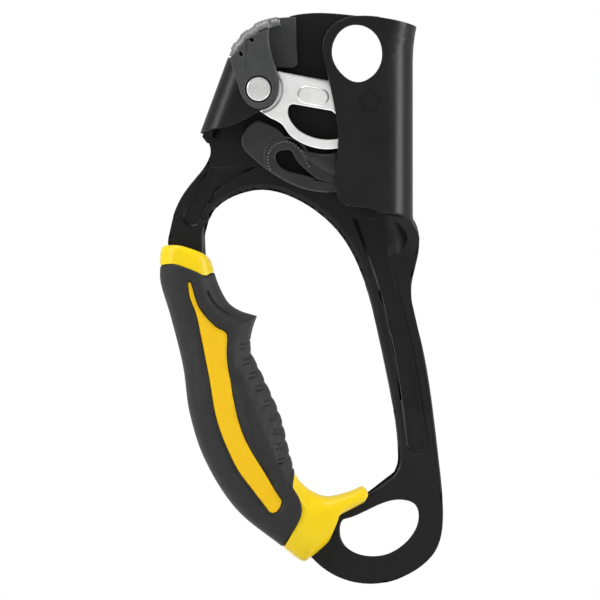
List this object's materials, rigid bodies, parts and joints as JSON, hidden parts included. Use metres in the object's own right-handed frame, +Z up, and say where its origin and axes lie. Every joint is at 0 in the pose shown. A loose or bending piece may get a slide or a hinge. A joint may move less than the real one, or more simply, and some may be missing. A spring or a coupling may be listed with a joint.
{
  "type": "handled rope ascender",
  "caption": "Handled rope clamp: a toothed spring cam grips a rope in a folded channel, with a finger catch, a moulded grip and two carabiner eyes.",
  "frame": {"origin": "on the rope's centre line, level with the cam axle", "axes": "+Z up along the rope, +X towards the closed side of the rope channel, the front faces -Y"},
  "size_m": [0.0949, 0.0335, 0.1913],
  "materials": {
    "black_anodised": "satin black anodised aluminium",
    "dark_plastic": "finely textured",
    "rivet_steel": "turned",
    "spring_steel": "drawn wire",
    "plated_steel": "bright plated, finely blasted",
    "bronze_bush": "sintered bronze",
    "catch_black": "satin black",
    "yellow_plastic": "smooth lemon yellow",
    "golden_inlay": "finely grained golden yellow",
    "grip_rubber": "finely pebbled"
  },
  "bodies": {
    "body": {"frame": "black_anodised", "palm_rest": "dark_plastic", "cam_axle": "rivet_steel", "axle_tail_washer": "rivet_steel", "axle_washer_front": "rivet_steel", "axle_washer_rear": "rivet_steel", "cam_spring": "spring_steel", "grip_core_front": "yellow_plastic", "grip_core_rear": "yellow_plastic", "grip_sleeve": "grip_rubber", "inlay_front": "golden_inlay", "inlay_rear": "golden_inlay"},
    "cam": {"cam": "plated_steel", "cam_bush": "bronze_bush", "catch_pin": "rivet_steel", "catch_pin_washer": "rivet_steel", "catch_spring": "spring_steel"},
    "catch": {"catch": "catch_black"}
  },
  "joints": [
    {"name": "cam_pivot", "type": "hinge", "parent": "body", "child": "cam", "pos_m": [-0.0407, 0, 0], "axis": [0, 1, 0], "range_deg": [0, 60], "stiffness_Nm_per_rad": 0.05, "springref_deg": -68.75, "deforming": ["cam_spring"]},
    {"name": "catch_pivot", "type": "hinge", "parent": "cam", "child": "catch", "pos_m": [-0.0074, 0, -0.0231], "axis": [0, -1, 0], "range_deg": [0, 36], "stiffness_Nm_per_rad": 0.02, "springref_deg": -34.38, "deforming": ["catch_spring"]}
  ],
  "couplings": [
    {"joint": "catch_pivot", "follows": "cam_pivot", "ratio": 0.6}
  ]
}
